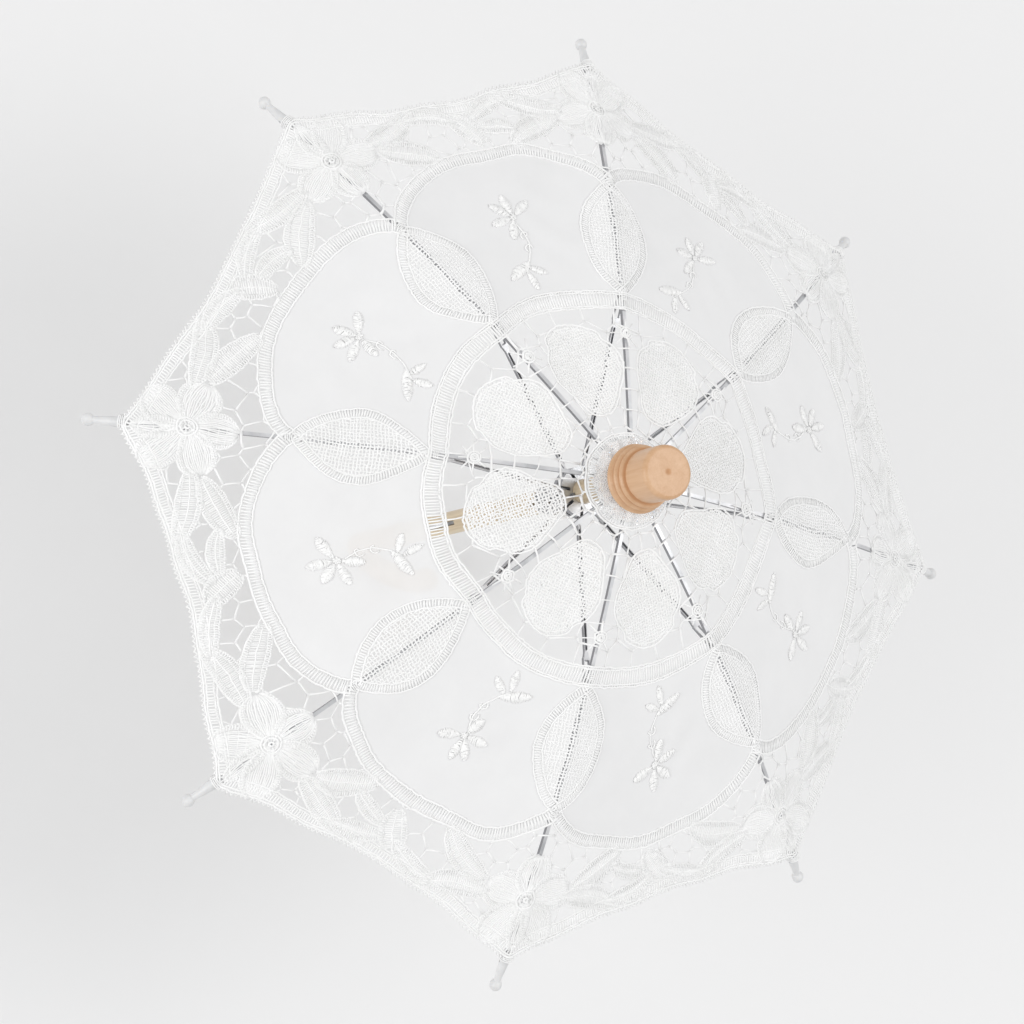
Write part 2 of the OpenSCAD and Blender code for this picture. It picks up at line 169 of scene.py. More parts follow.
class Paint:
    """A Principled material and the calls that the materials below share."""

    def __init__(self, name, **sockets):
        self.material = bpy.data.materials.new(name)
        self.material.use_nodes = True
        self.tree = self.material.node_tree
        self.shader = self.tree.nodes["Principled BSDF"]
        for socket, value in sockets.items():
            self.shader.inputs[socket.replace("_", " ")].default_value = value

    def feed(self, socket, value):
        """Links the socket to another node's output, or sets it to a plain value."""
        if isinstance(value, bpy.types.NodeSocket):
            self.tree.links.new(value, socket)
        else:
            socket.default_value = value

    def node(self, kind, **inputs):
        made = self.tree.nodes.new(kind)
        for socket, value in inputs.items():
            self.feed(made.inputs[socket.replace("_", " ")], value)
        return made

    def place(self, stretch=(1, 1, 1)):
        """Object coordinates, in metres, stretched along each axis."""
        coordinates = self.tree.nodes.new("ShaderNodeTexCoord")
        mapping = self.node("ShaderNodeMapping", Vector=coordinates.outputs["Object"], Scale=stretch)
        return mapping.outputs["Vector"]

    def axes(self, output):
        """The X, Y and Z of one of the texture coordinates."""
        coordinates = self.tree.nodes.new("ShaderNodeTexCoord")
        return self.node("ShaderNodeSeparateXYZ", Vector=coordinates.outputs[output]).outputs

    def noise(self, scale, detail=3.0, stretch=(1, 1, 1), distortion=0.0):
        made = self.node("ShaderNodeTexNoise", Vector=self.place(stretch), Scale=scale, Detail=detail,
                         Distortion=distortion)
        return made.outputs["Fac"]

    def ramp(self, value, *stops):
        """A colour ramp with (position, colour) stops."""
        made = self.node("ShaderNodeValToRGB", Fac=value)
        elements = made.color_ramp.elements
        while len(elements) < len(stops):
            elements.new(0.5)
        for element, (position, colour) in zip(elements, stops):
            element.position = position
            element.color = (*colour, 1)
        return made.outputs["Color"]

    def spread(self, value, low, high):
        """The value's middle range, from 0.3 to 0.7, spread over low to high."""
        made = self.node("ShaderNodeMapRange", Value=value)
        for socket, number in zip(("From Min", "From Max", "To Min", "To Max"), (0.3, 0.7, low, high)):
            made.inputs[socket].default_value = number
        return made.outputs["Result"]

    def sum(self, a, b, share):
        """A mix of two values."""
        made = self.tree.nodes.new("ShaderNodeMix")
        made.inputs["Factor"].default_value = share
        self.tree.links.new(a, made.inputs["A"])
        self.tree.links.new(b, made.inputs["B"])
        return made.outputs["Result"]

    def math(self, operation, a, b):
        made = self.tree.nodes.new("ShaderNodeMath")
        made.operation = operation
        for socket, value in zip(made.inputs, (a, b)):
            self.feed(socket, value)
        return made.outputs[0]

    def mixed(self, share, a, b):
        """Colour a, turning to colour b as the share goes from 0 to 1."""
        made = self.tree.nodes.new("ShaderNodeMix")
        made.data_type = "RGBA"
        factor, first, second = (next(i for i in made.inputs if i.identifier == name)
                                 for name in ("Factor_Float", "A_Color", "B_Color"))
        for value, socket in ((share, factor), (a, first), (b, second)):
            self.feed(socket, value)
        return next(o for o in made.outputs if o.identifier == "Result_Color")

    def darkened_at(self, colour, heights, darker_tone=(0.50, 0.23, 0.09, 1), spread=0.45 * MM, strength=0.75):
        """The colour, darker at each height and round the finial's centre mark."""
        x, y, z = self.axes("Object")
        share = None
        for height in heights:
            off = self.math("ABSOLUTE", self.math("SUBTRACT", z, height * MM), 0.0)
            near = self.math("MAXIMUM", self.math("SUBTRACT", 1.0, self.math("DIVIDE", off, spread)), 0.0)
            share = near if share is None else self.math("MAXIMUM", share, near)
        squares = self.math("ADD", self.math("MULTIPLY", x, x), self.math("MULTIPLY", y, y))
        reach = self.math("SQRT", squares, 0.0)
        centre = self.math("SUBTRACT", 1.0, self.math("DIVIDE", reach, FACE_MARK_RADIUS * MM))
        share = self.math("MAXIMUM", share, self.math("MAXIMUM", centre, 0.0))
        return self.mixed(self.math("MULTIPLY", share, strength), colour, darker_tone)

    def set(self, socket, value):
        self.tree.links.new(value, self.shader.inputs[socket])

    def bump(self, height, strength, distance):
        made = self.node("ShaderNodeBump", Height=height, Strength=strength, Distance=distance)
        self.set("Normal", made.outputs["Normal"])


def wood(name, pale, mid, dark, sheen_of_varnish, grooves=()):
    """Turned hardwood with its grain along Z: long streaks, fine dark pores and slow bands.
    The colour turns darker at the heights listed in grooves, in millimetres, and round the centre of the end."""
    paint = Paint(name, Coat_Weight=sheen_of_varnish, Coat_Roughness=0.12, Specular_IOR_Level=0.4)
    streaks = paint.noise(260, detail=5, stretch=(1, 1, 0.06), distortion=0.6)
    bands = paint.noise(55, detail=2, stretch=(1, 1, 0.12), distortion=1.4)
    pores = paint.noise(1500, detail=2, stretch=(1, 1, 0.035))
    grain = paint.sum(paint.sum(streaks, bands, 0.45), pores, 0.22)
    colour = paint.ramp(grain, (0.36, dark), (0.5, mid), (0.62, pale))
    if grooves:
        # Darker bands at the groove heights, and darker round the centre of the end.
        colour = paint.darkened_at(colour, grooves)
    paint.set("Base Color", colour)
    paint.set("Roughness", paint.spread(streaks, 0.36, 0.52))
    paint.bump(paint.sum(streaks, pores, 0.6), 0.25, 0.15 * MM)
    return paint.material


def steel(name, tone, rough, painted_side_shade=None):
    """Drawn sheet steel: fine scratches, a little tarnish and a soft shine. When a side tone is given, walls
    that
    stand upright are painted in it: a darker painted shade for the dark surround that they reflect."""
    paint = Paint(name, Metallic=1.0)
    scratches = paint.noise(2200, stretch=(1, 1, 0.25))
    tarnish = paint.noise(70, detail=4, distortion=0.5)
    dull = tuple(tone * share for share in (0.72, 0.73, 0.75))
    bright = (tone, tone, tone * 1.02)
    colour = paint.ramp(tarnish, (0.35, dull), (0.6, bright))
    if painted_side_shade is not None:
        # Painted shade: walls that lean away from straight up take the darker side tone, for the dark
        # surround they reflect.
        upright = paint.math("LESS_THAN", paint.axes("Normal")["Z"], 0.8)
        colour = paint.mixed(upright, colour, (painted_side_shade, painted_side_shade, painted_side_shade * 1.05, 1))
    paint.set("Base Color", colour)
    paint.set("Roughness", paint.spread(paint.sum(scratches, tarnish, 0.4), rough * 0.75, rough * 1.4))
    paint.bump(scratches, 0.12, 0.05 * MM)
    return paint.material


def tip_plastic():
    """Moulded white plastic, a little translucent, with faint flow marks."""
    paint = Paint("tip_plastic", Subsurface_Weight=0.25, Subsurface_Scale=1.5 * MM, Specular_IOR_Level=0.5)
    paint.shader.inputs["Subsurface Radius"].default_value = (1.0, 0.9, 0.8)
    flow = paint.noise(320, 4)
    paint.set("Base Color", paint.ramp(flow, (0.3, (0.68, 0.683, 0.688)), (0.7, (0.755, 0.757, 0.76))))
    paint.set("Roughness", paint.spread(flow, 0.28, 0.42))
    paint.bump(paint.noise(1800, 2), 0.08, 0.1 * MM)
    return paint.material


def cotton_thread():
    """White cotton thread: soft, fibrous and faintly uneven in tone."""
    paint = Paint("cotton_thread", Sheen_Weight=0.35, Sheen_Roughness=0.5, Specular_IOR_Level=0.25)
    tone = paint.noise(90, 3)
    fibres = paint.noise(5200, 3)
    paint.set("Base Color", paint.ramp(tone, (0.35, (0.93, 0.93, 0.925)), (0.65, (0.97, 0.97, 0.97))))
    paint.set("Roughness", paint.spread(fibres, 0.62, 0.82))
    paint.bump(fibres, 0.35, 0.12 * MM)
    return paint.material


def satin_thread():
    """Rayon embroidery thread, brighter and glossier than the cotton."""
    paint = Paint("satin_thread", Sheen_Weight=0.5, Anisotropic=0.15, Specular_IOR_Level=0.4)
    tone = paint.noise(300, 3)
    fibres = paint.noise(4200, 2)
    paint.set("Base Color", paint.ramp(tone, (0.35, (0.975, 0.975, 0.97)), (0.65, (0.995, 0.995, 0.99))))
    paint.set("Roughness", paint.spread(fibres, 0.4, 0.55))
    paint.bump(fibres, 0.2, 0.1 * MM)
    return paint.material


def organza():
    """Sheer white organza: cloudy, so that what lies behind it only just shows."""
    paint = Paint("organza", Sheen_Weight=0.5, Sheen_Roughness=0.4, Specular_IOR_Level=0.2)
    cloud = paint.noise(45, 4)
    weave = paint.noise(2600, 2)
    paint.set("Base Color", paint.ramp(cloud, (0.3, (0.80, 0.80, 0.803)), (0.7, (0.825, 0.825, 0.828))))
    paint.set("Alpha", paint.spread(cloud, 0.87, 0.91))
    paint.set("Roughness", paint.spread(weave, 0.5, 0.7))
    paint.bump(weave, 0.25, 0.1 * MM)
    return paint.material


def tulle():
    """The ruffle's stiff sheer ground, with a cool pearly cast."""
    paint = Paint("tulle", Sheen_Weight=0.6, Sheen_Roughness=0.3, Specular_IOR_Level=0.6)
    cast = paint.noise(420, 3)
    paint.set("Base Color", paint.ramp(cast, (0.3, (0.88, 0.91, 0.95)), (0.5, (0.95, 0.95, 0.96)),
                                       (0.7, (0.96, 0.92, 0.93))))
    paint.set("Alpha", paint.spread(cast, 0.42, 0.6))
    paint.set("Roughness", paint.spread(cast, 0.3, 0.5))
    paint.bump(paint.noise(3000, 2), 0.3, 0.1 * MM)
    return paint.material


def glitter():
    """Small pearly metal flakes stuck on the ruffle's threads."""
    paint = Paint("glitter", Metallic=0.6)
    cast = paint.noise(900, 2)
    paint.set("Base Color", paint.ramp(cast, (0.35, (0.66, 0.78, 0.93)), (0.5, (0.9, 0.9, 0.92)),
                                       (0.65, (0.94, 0.78, 0.72))))
    paint.set("Roughness", paint.spread(cast, 0.25, 0.45))
    return paint.material


def floor_paper():
    """Pale matt paper under the parasol."""
    paint = Paint("floor_paper", Specular_IOR_Level=0.1)
    tone = paint.noise(3, 3)
    paint.set("Base Color", paint.ramp(tone, (0.3, (0.84, 0.84, 0.842)), (0.7, (0.85, 0.85, 0.852))))
    paint.set("Roughness", paint.spread(paint.noise(400, 2), 0.85, 0.95))
    return paint.material


COTTON, SATIN = 0, 1
FACE_MARK_RADIUS = 1.9
GROOVES = [FINIAL_Z + height for height in (3.8, 6.9, 9.6)]
FINIAL_TONES = ((0.68, 0.44, 0.265), (0.63, 0.39, 0.225), (0.57, 0.33, 0.17))
PAINTS = {
    "shaft_wood": wood("shaft_wood", (0.80, 0.69, 0.51), (0.73, 0.60, 0.42), (0.58, 0.45, 0.29), 0.15),
    "finial_wood": wood("finial_wood", *FINIAL_TONES, 0.3, GROOVES),
    "handle_wood": wood("handle_wood", (0.74, 0.56, 0.36), (0.66, 0.47, 0.28), (0.50, 0.33, 0.18), 0.3),
    # The last number is the painted shade on the upright walls of the ribs and stretchers.
    "frame_steel": steel("frame_steel", 0.85, 0.36, 0.34),
    "wire": steel("wire", 0.42, 0.35),
    "tip_plastic": tip_plastic(),
    "lace": cotton_thread(),
    "ruffle": tulle(),
}
SATIN_PAINT = satin_thread()
ORGANZA_PAINT = organza()


def paint_cad_nodes():
    """Gives every shown CAD node the better material of its own slot."""
    for node in frame["nodes"].values():
        for slot in node.material_slots:
            kind = slot.material.name.split(".")[0] if slot.material else None
            if kind in PAINTS:
                slot.material = PAINTS[kind]
    for name, node in frame["nodes"].items():
        if name.startswith(("rib_", "stretcher_")) and not name.startswith(("rib_tip", "rib_rivet")):
            rolled = node.modifiers.new("rolled edges", "BEVEL")
            rolled.width = 0.22 * MM
            rolled.segments = 2
            rolled.limit_method = "ANGLE"
            rolled.angle_limit = math.radians(50)
            rolled.use_clamp_overlap = True


# ---------- threads ----------


# A thread's height as a share of its width, how far its points stray, and how its thickness varies
FLATNESS = {COTTON: 0.8, SATIN: 0.6}
UNSTEADINESS = 0.12
THICKNESS_RANGE = (0.85, 1.15)
THREAD_SIDES = 4


class Threads:
    """Threads gathered as plan centre lines, then made into tubes all at once."""

    def __init__(self):
        self.groups = {}

    def add(self, path, radius, lift, closed=False, finish=COTTON, owner=-1):
        """One thread. lift is its centre's height over the cloth's underside. owner is the half sector
        that a whole motif rides with, or -1 to cut the thread where the sectors meet."""
        path = np.asarray(path, float)
        count = len(path)
        lifts = np.broadcast_to(np.asarray(lift, float), (count,))
        radii = np.broadcast_to(np.asarray(radius, float), (count,))
        rows = self.groups.setdefault((count, closed), [])
        rows.append((path, lifts, radii, finish, owner))

    def tubes(self):
        """Points (x, y, lift), quads, and each quad's finish and owner."""
        unsteady = np.random.default_rng(3)
        points, quads, finishes, owners = [], [], [], []
        start = 0
        for (count, closed), rows in self.groups.items():
            path = np.array([row[0] for row in rows])
            path += unsteady.normal(0, UNSTEADINESS, path.shape)
            lifts = np.array([row[1] for row in rows])
            radii = np.array([row[2] for row in rows])
            radii *= unsteady.uniform(*THICKNESS_RANGE, (len(rows), 1))
            across = normals(path, closed)
            angles = TURN * (np.arange(THREAD_SIDES) + 0.5) / THREAD_SIDES
            flat = path[:, :, None] + radii[..., None, None] * across[:, :, None] * np.cos(angles)[:, None]
            flatness = np.array([FLATNESS[row[3]] for row in rows])[:, None, None]
            high = lifts[..., None] + flatness * radii[..., None] * np.sin(angles)
            points.append(np.concatenate([flat, high[..., None]], -1).reshape(-1, 3))
            made = len(rows) * count * THREAD_SIDES
            index = start + np.arange(made).reshape(len(rows), count, THREAD_SIDES)
            following = np.roll(index, -1, 1) if closed else index[:, 1:]
            leading = index if closed else index[:, :-1]
            walls = walls_between(leading, following).reshape(len(rows), -1, 4)
            if not closed:
                ends = np.stack([index[:, 0, ::-1], index[:, -1]], 1)
                walls = np.concatenate([walls, ends], 1)
            quads.append(walls.reshape(-1, 4))
            each = walls.shape[1]
            finishes.append(np.repeat([row[3] for row in rows], each))
            owners.append(np.repeat([row[4] for row in rows], each))
            start += made
        return np.concatenate(points), np.concatenate(quads), np.concatenate(finishes), np.concatenate(owners)


def smooth_closed(points, count):
    """A smooth closed curve through the points, with count points on it."""
    points = np.asarray(points, float)
    total = len(points)
    at = np.linspace(0, total, count, endpoint=False)
    first = np.floor(at).astype(int)
    t = (at - first)[:, None]
    a, b, c, d = (points[(first + shift) % total] for shift in (-1, 0, 1, 2))
    squared = (2 * a - 5 * b + 4 * c - d) * t ** 2
    cubed = (3 * b - a - 3 * c + d) * t ** 3
    return 0.5 * (2 * b + (c - a) * t + squared + cubed)


def resampled(path, pitch, closed=False):
    """The path again, with points about pitch apart."""
    path = np.asarray(path, float)
    if closed:
        path = np.concatenate([path, path[:1]])
    steps = np.linalg.norm(np.diff(path, axis=0), axis=1)
    far = np.concatenate([[0], np.cumsum(steps)])
    count = max(3, int(round(far[-1] / pitch)))
    at = np.linspace(0, far[-1], count + 1)
    if closed:
        at = at[:-1]
    return np.stack([np.interp(at, far, path[:, 0]), np.interp(at, far, path[:, 1])], 1)


def normals(path, closed):
    """Unit vectors square to a path, or to each of a stack of paths, to its left."""
    if closed:
        run = np.roll(path, -1, -2) - np.roll(path, 1, -2)
    else:
        run = np.gradient(path, axis=-2)
    run /= np.maximum(np.linalg.norm(run, axis=-1, keepdims=True), 1e-9)
    return np.stack([-run[..., 1], run[..., 0]], -1)


EDGE_THREAD = 0.48
LADDER_THREAD = 0.42


def tape(threads, path, width, closed=False, pitch=1.15, edge=EDGE_THREAD, cords=1):
    """A woven tape centred on the path: edge cords, and a zigzag of cross threads between them."""
    path = resampled(path, pitch, closed)
    side = normals(path, closed)
    half = width / 2
    cord_gap = 1.9 * edge
    cord_lift, cord_step = 0.42, 0.08
    for edge_side in (-1, 1):
        for cord in range(cords):
            inset = half - cord * cord_gap
            threads.add(path + side * edge_side * inset, edge, cord_lift - cord_step * cord, closed)
    slant = 0.35
    ladder_lifts = [0.3, 0.42, 0.3]
    last = len(path) if closed else len(path) - 1
    for i in range(last):
        nearer = path[i] - side[i] * half
        following = (i + 1) % len(path)
        middle = path[i] * (1 - slant) + path[following] * slant
        crossing = side[i] * (1 - slant) + side[following] * slant
        threads.add([nearer, path[i] + 0.5 * (middle - path[i]), middle + crossing * half],
                    LADDER_THREAD, ladder_lifts)


NET_LIFT, NET_WEAVE = 0.3, 0.12


def net(threads, inside, reach, pitch, turn, thread, rng, jitter, centre):
    """A woven net, as two sets of threads that pass over and under each other, cut to the region inside().
    It covers reach on both sides of its centre, along and across."""
    (x0, y0), (x1, y1) = (-reach[0], -reach[1]), reach
    step = pitch / 2
    for along, across in ((0, 1), (1, 0)):
        low, high = ((x0, x1), (y0, y1))[along]
        start, stop = ((x0, x1), (y0, y1))[across]
        runs = np.arange(low, high + step, step)
        for row, level in enumerate(np.arange(start, stop + pitch, pitch)):
            line = np.zeros((len(runs), 2))
            line[:, along] = runs
            line[:, across] = level
            line[:, across] += [rng.uniform(-jitter, jitter) for _ in runs]
            line = turned(line, turn) + np.asarray(centre)
            kept = inside(line[:, 0], line[:, 1])
            weave = NET_LIFT + NET_WEAVE * np.cos(math.pi * (np.arange(len(runs)) / 2 + row + along))
            for first, end in stretches(kept):
                threads.add(line[first:end], thread, weave[first:end])


def stretches(kept):
    """The (first, end) index pairs of the stretches of at least 2 kept points."""
    marks = np.flatnonzero(np.diff(np.concatenate([[0], kept.astype(int), [0]])))
    return [(a, b) for a, b in zip(marks[::2], marks[1::2]) if b - a >= 2]


def blade_width(t, fullness):
    """Half the width of a leaf shape, as a share of its greatest, at t from 0 to 1 along it."""
    return np.sin(math.pi * np.clip(t, 0, 1)) ** fullness


class Leaf:
    """A leaf or petal shape between two plan points. The skew moves its widest place towards its end."""

    def __init__(self, start, end, half_width, bend=0.0, skew=1.0, fullness=0.7):
        self.start, self.end = np.asarray(start, float), np.asarray(end, float)
        self.half_width, self.bend, self.skew, self.fullness = half_width, bend, skew, fullness
        self.length = float(np.linalg.norm(self.end - self.start))
        self.along = (self.end - self.start) / self.length
        self.across = np.array([-self.along[1], self.along[0]])

    def turned(self, angle):
        start, end = turned([self.start, self.end], angle)
        return Leaf(start, end, self.half_width, self.bend, self.skew, self.fullness)

    def width(self, t):
        return self.half_width * blade_width(np.clip(t, 0, 1) ** self.skew, self.fullness)

    def points(self, t, aside):
        """Points at shares t along the leaf and shares aside of its half width."""
        t = np.asarray(t, float)
        off = aside * self.width(t) + self.bend * np.sin(math.pi * t)
        return self.start + np.outer(t * self.length, self.along) + np.outer(off, self.across)

    def contains(self, x, y):
        """True inside the leaf or within a small margin of its sides."""
        margin = 0.4
        dx, dy = x - self.start[0], y - self.start[1]
        t = (dx * self.along[0] + dy * self.along[1]) / self.length
        aside = dx * self.across[0] + dy * self.across[1] - self.bend * np.sin(math.pi * np.clip(t, 0, 1))
        return (t > 0) & (t < 1) & (np.abs(aside) < self.width(t) + margin)


def satin_leaf(threads, leaf, owner):
    """A leaf of glossy threads laid side by side across it, at a slant."""
    pitch, thread, lift, dome, slant = 0.38, 0.28, 0.5, 0.3, 0.35
    for t in (np.arange(int(leaf.length / pitch)) + 0.5) * pitch / leaf.length:
        low, middle, high = leaf.points([t, t, t], np.array([-1, 0, 1]))
        lean = leaf.along * leaf.width(t) * slant
        threads.add([low + lean, middle, high + lean], thread, [lift - 0.1, lift + dome, lift - 0.1],
                    finish=SATIN, owner=owner)


OUTLINE_CORD, OUTLINE_LIFT = 0.5, 0.45
INNER_CORD, INNER_CORD_INSET = 0.28, 1.7
STITCH_THREAD, STITCH_PITCH, STITCH_LIFT = 0.33, 0.95, 0.18
STITCH_INSIDE, STITCH_OUTSIDE = 2.0, 0.3
FILL_THREAD, FILL_PITCH = 0.34, 0.85
VEIN_THREAD, VEIN_LIFT = 0.36, 0.6


def edged(threads, leaf):
    """The leaf's thick outline: a cord and a finer one inside it, with close stitches over both."""
    t = np.linspace(0.01, 0.99, max(10, int(leaf.length / 1.5)))
    outer = 1 + STITCH_OUTSIDE / leaf.half_width
    inner = 1 - STITCH_INSIDE / leaf.half_width
    inner_cord = 1 - INNER_CORD_INSET / leaf.half_width
    for side in (-1, 1):
        threads.add(leaf.points(t, side), OUTLINE_CORD, OUTLINE_LIFT)
        threads.add(leaf.points(t, side * inner_cord), INNER_CORD, OUTLINE_LIFT)
        for at in np.arange(0.05, 0.96, STITCH_PITCH / leaf.length):
            ends = [leaf.points([at], side * inner)[0], leaf.points([at], side * outer)[0]]
            threads.add(ends, STITCH_THREAD, OUTLINE_LIFT + STITCH_LIFT)


def crossed_leaf(threads, leaf):
    """An edged leaf with open cross threads and a vein."""
    edged(threads, leaf)
    for t in (np.arange(int(leaf.length / FILL_PITCH)) + 0.5) * FILL_PITCH / leaf.length:
        threads.add(leaf.points([t, t, t], np.array([-0.95, 0, 0.95])), FILL_THREAD, [0.3, 0.45, 0.3])
    vein = np.linspace(0.05, 0.95, max(5, int(leaf.length / 2.5)))
    threads.add(leaf.points(vein, 0.0), VEIN_THREAD, VEIN_LIFT)


def rayed_leaf(threads, leaf):
    """An edged petal with threads that run along it, over sparse finer ones across it."""
    edged(threads, leaf)
    count = int(2 * leaf.half_width / FILL_PITCH)
    t = np.linspace(0.03, 0.97, max(6, int(leaf.length / 2)))
    for i in range(count):
        threads.add(leaf.points(t, 0.92 * (2 * (i + 0.5) / count - 1)), FILL_THREAD, 0.38)
    cross_pitch, cross_thread = 3.2, 0.22
    for at in np.arange(0.2, 0.95, cross_pitch / leaf.length):
        threads.add(leaf.points([at, at, at], np.array([-0.9, 0, 0.9])), cross_thread, 0.3)


# ---------- the lace's plan ----------

RING_RADIUS = 77
RING_WIDTH = 7.4
LEAF_START, LEAF_END, LEAF_HALF_WIDTH = 80.5, 130, 15
LEAF_TAPE = 3.4
SCALLOP_ON_RIB, SCALLOP_BULGE, SCALLOP_WIDTH = 130.5, 13.5, 5.2
HEM_TAPE_WIDTH = 4.8
HEM_TAPE_INSET = 3.0
FLOWER_RADIUS = 167
FLOWER_EYE = 3.6
FLOWER_PETAL_HALF_WIDTH = 7.3
# Each broad petal's direction from the shaft's side, in degrees, and its length
FLOWER_PETAL_PLAN = ((0, 19), (66, 20.5), (-66, 20.5), (136, 20.5), (-136, 20.5))
PETAL_CENTRE = 48
PETAL_HALF_OUTLINE = [(28, 0), (29.5, 5), (37, 10.2), (45, 15.2), (53, 16), (58.5, 12.8), (62, 12),
                      (65.5, 6.8), (67, 2.4)]
# Each net's reach along and across its motif, and its pitch, thread and unevenness
PETAL_NET_REACH, PETAL_NET_PITCH, PETAL_NET_THREAD, PETAL_NET_JITTER = (22, 18), 1.2, 0.38, 0.34
LEAF_NET_REACH, LEAF_NET_PITCH, LEAF_NET_THREAD, LEAF_NET_JITTER = (26, 16), 1.35, 0.36, 0.24
SPIDER_RADIUS = 62.5
SPIDER_REACH = 2.4
SPIDER_RINGS = (2.5, 1.5, 0.7)
SPIDER_THREAD, SPOKE_THREAD, SPOKES = 0.5, 0.38, 8
NECK_RADIUS = 17
NECK_WIDTH = 4.6
DAISY_RADIUS = 115


def petal_outline():
    """The petal's outline about the middle of a gore, which lies along +X."""
    right = [(x, -y) for x, y in PETAL_HALF_OUTLINE[1:]]
    left = PETAL_HALF_OUTLINE[:0:-1]
    return smooth_closed([PETAL_HALF_OUTLINE[0]] + right + left, 96)


PETAL = petal_outline()


def in_petal(x, y, inset=0.0):
    """True inside the petal of the nearest gore."""
    radius, angle = np.hypot(x, y), from_gore(np.arctan2(y, x))
    gx, gy = radius * np.cos(angle) - PETAL_CENTRE, radius * np.sin(angle)
    outline = PETAL - (PETAL_CENTRE, 0)
    turn = np.arctan2(outline[:, 1], outline[:, 0])
    order = np.argsort(turn)
    reach = np.interp(np.arctan2(gy, gx), turn[order], np.hypot(outline[:, 0], outline[:, 1])[order],
                      period=TURN)
    return np.hypot(gx, gy) < reach - inset


def leaf_half_width(along):
    return LEAF_HALF_WIDTH * blade_width((along - LEAF_START) / (LEAF_END - LEAF_START), 0.72)


def in_leaf(x, y, inset):
    """True inside the net leaf of the nearest rib."""
    radius, angle = np.hypot(x, y), from_rib(np.arctan2(y, x))
    along, side = radius * np.cos(angle), radius * np.sin(angle)
    wide = leaf_half_width(along) - inset
    return (np.abs(side) < wide) & (along > LEAF_START + inset) & (along < LEAF_END - inset)


def scallop_radius(angle):
    """Plan radius of the tape round the sheer panels, at an angle from the middle of its gore."""
    share = np.clip(np.abs(angle) / HALF, 0, 1)
    return SCALLOP_ON_RIB + SCALLOP_BULGE * (1 - share ** 3) ** 0.8


def outer_leaves():
    """The leaves of the outer lace about the middle of a gore: a V on each side, with its point towards the
    flower at the rib's end, a wavy band to the middle, and a fan and a scroll there."""
    def at(radius, degrees):
        return polar(radius, math.radians(degrees))

    leaves = [Leaf(at(163.0, 1.4), at(148.5, -1.7), 5.2, 0.8, skew=0.8, fullness=0.45),
              Leaf(at(156.5, -1.8), at(153.0, -8.4), 3.3, 1.0, fullness=0.45)]
    for side in (-1, 1):
        leaves.append(Leaf(at(146.5, side * 6.6), at(160.5, side * 15.6), 5.2, -side * 1.5, fullness=0.45))
        leaves.append(Leaf(at(169.0, side * 6.6), at(164.5, side * 16.8), 4.7, side * 1.5, fullness=0.45))
        leaves.append(Leaf(at(167.5, side * 8.6), at(159.5, side * 0.6), 3.7, side * 1.8, fullness=0.45))
    return leaves


def flower_petals():
    """The five broad petals and the narrow outer one round a point on a rib that lies along +X."""
    centre = np.array([FLOWER_RADIUS, 0])
    petals = []
    for degrees, length in FLOWER_PETAL_PLAN:
        way = np.array([-math.cos(math.radians(degrees)), math.sin(math.radians(degrees))])
        petals.append(Leaf(centre + 1.2 * way, centre + length * way, FLOWER_PETAL_HALF_WIDTH,
                           skew=1.25, fullness=0.5))
    petals.append(Leaf(centre + (1, 0), centre + (19.5, 0), 4.2, fullness=0.6))
    return petals


OUTER_LEAVES = outer_leaves()
FLOWER_PETALS = flower_petals()


def filled(x, y):
    """True where the lace is already filled, so that no bars are wanted."""
    radius, azimuth = np.hypot(x, y), np.arctan2(y, x)
    gore_angle, rib_angle = from_gore(azimuth), from_rib(azimuth)
    gx, gy = radius * np.cos(gore_angle), radius * np.sin(gore_angle)
    rx, ry = radius * np.cos(rib_angle), radius * np.sin(rib_angle)
    solid = in_petal(x, y) | (radius < NECK_RADIUS)
    ring_inside = RING_RADIUS - RING_WIDTH / 2
    scallop_outside = scallop_radius(gore_angle) + SCALLOP_WIDTH / 2
    solid |= (radius > ring_inside) & (radius < scallop_outside)
    solid |= radius > hem_radius(azimuth) - HEM_TAPE_WIDTH
    solid |= np.hypot(rx - SPIDER_RADIUS, ry) < SPIDER_REACH
    for leaf in OUTER_LEAVES:
        solid |= leaf.contains(gx, gy)
    for petal in FLOWER_PETALS:
        solid |= petal.contains(rx, ry)
    return solid


# The rings of cells inside the ring tape: radius, count and unevenness
CELL_RINGS = ((11, 16, 0.2), (18.5, 16, 0.6), (25, 24, 0.8), (34, 24, 1.0), (43, 24, 1.0), (52, 24, 1.2),
              (61, 24, 1.2), (70, 34, 1.2), (84, 34, 0.0))
# The honeycomb of cells in the outer band: pitch, unevenness, and row spacing as a share of the pitch
CELL_PITCH, CELL_JITTER, CELL_ROW = 10.2, 2.3, 0.866
CELL_BAND = (120, 205)


def bar_seeds(rng):
    """Points whose cells the bars are drawn round: rings of them inside, a loose honeycomb outside."""
    seeds = []
    for radius, count, jitter in CELL_RINGS:
        for i in range(count):
            angle = TURN * (i + 0.5) / count
            seeds.append((radius * math.cos(angle) + rng.uniform(-jitter, jitter),
                          radius * math.sin(angle) + rng.uniform(-jitter, jitter)))
    rows, columns = 23, 30
    for row in range(-rows, rows + 1):
        for column in range(-columns, columns + 1):
            x = CELL_PITCH * (column + 0.5 * (row % 2)) + rng.uniform(-CELL_JITTER, CELL_JITTER)
            y = CELL_PITCH * CELL_ROW * row + rng.uniform(-CELL_JITTER, CELL_JITTER)
            if CELL_BAND[0] < math.hypot(x, y) < CELL_BAND[1]:
                seeds.append((x, y))
    return seeds


